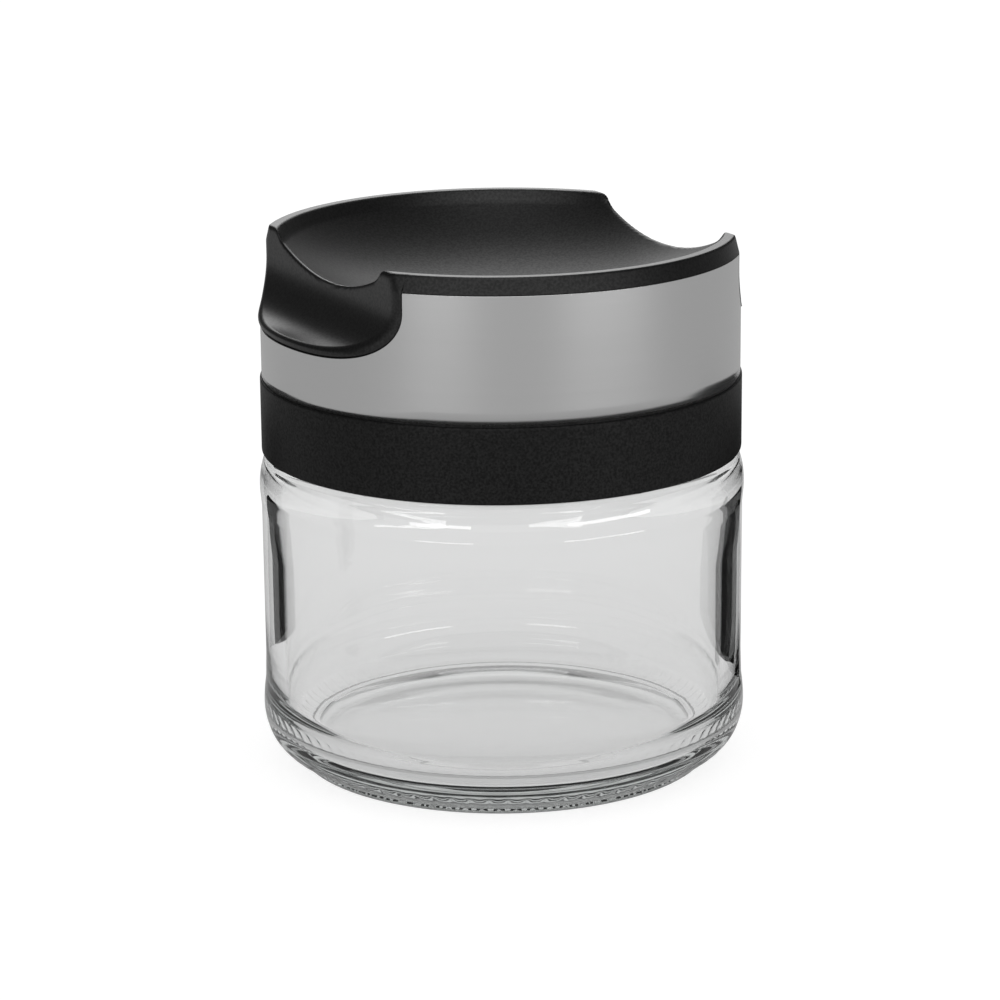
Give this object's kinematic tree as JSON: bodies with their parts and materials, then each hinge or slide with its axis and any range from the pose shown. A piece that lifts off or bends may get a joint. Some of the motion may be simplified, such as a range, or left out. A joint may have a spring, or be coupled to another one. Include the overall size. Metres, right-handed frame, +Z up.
{
  "type": "screw-lid storage jar",
  "caption": "Round clear glass storage jar with a threaded black lid, a steel band round the lid, a hand dish on top and finger scoops on both sides.",
  "frame": {"origin": "centre of the ring that the jar stands on, on the jar's axis", "axes": "+Z up along the jar's axis, the two finger scoops of the lid face -X and +X, -Y is the front"},
  "size_m": [0.1, 0.1, 0.1097],
  "materials": {
    "clear_glass": "clear pressed soda-lime glass, polished",
    "black_collar": "moulded polypropylene, fine spark-eroded grain",
    "black_cap": "moulded polypropylene, smooth satin",
    "satin_steel": "satin rolled stainless steel",
    "natural_plastic": "natural polypropylene, slightly milky",
    "silicone": "translucent silicone rubber, matt"
  },
  "bodies": {
    "jar": {"glass_jar": "clear_glass"},
    "seal": {"sealing_disc": "natural_plastic", "silicone_gasket": "silicone"},
    "lid": {"screw_collar": "black_collar", "grip_cap": "black_cap", "steel_band": "satin_steel"}
  },
  "joints": [
    {"name": "lid_lift", "type": "slide", "parent": "jar", "child": "seal", "axis": [0, 0, 1], "range_m": [0, 0.0301]},
    {"name": "lid_turn", "type": "hinge", "parent": "seal", "child": "lid", "pos_m": [0, 0, 0], "axis": [0, 0, 1], "range_deg": [0, 720]}
  ],
  "couplings": [
    {"joint": "lid_lift", "follows": "lid_turn", "m_per_rad": 0.0023873}
  ]
}
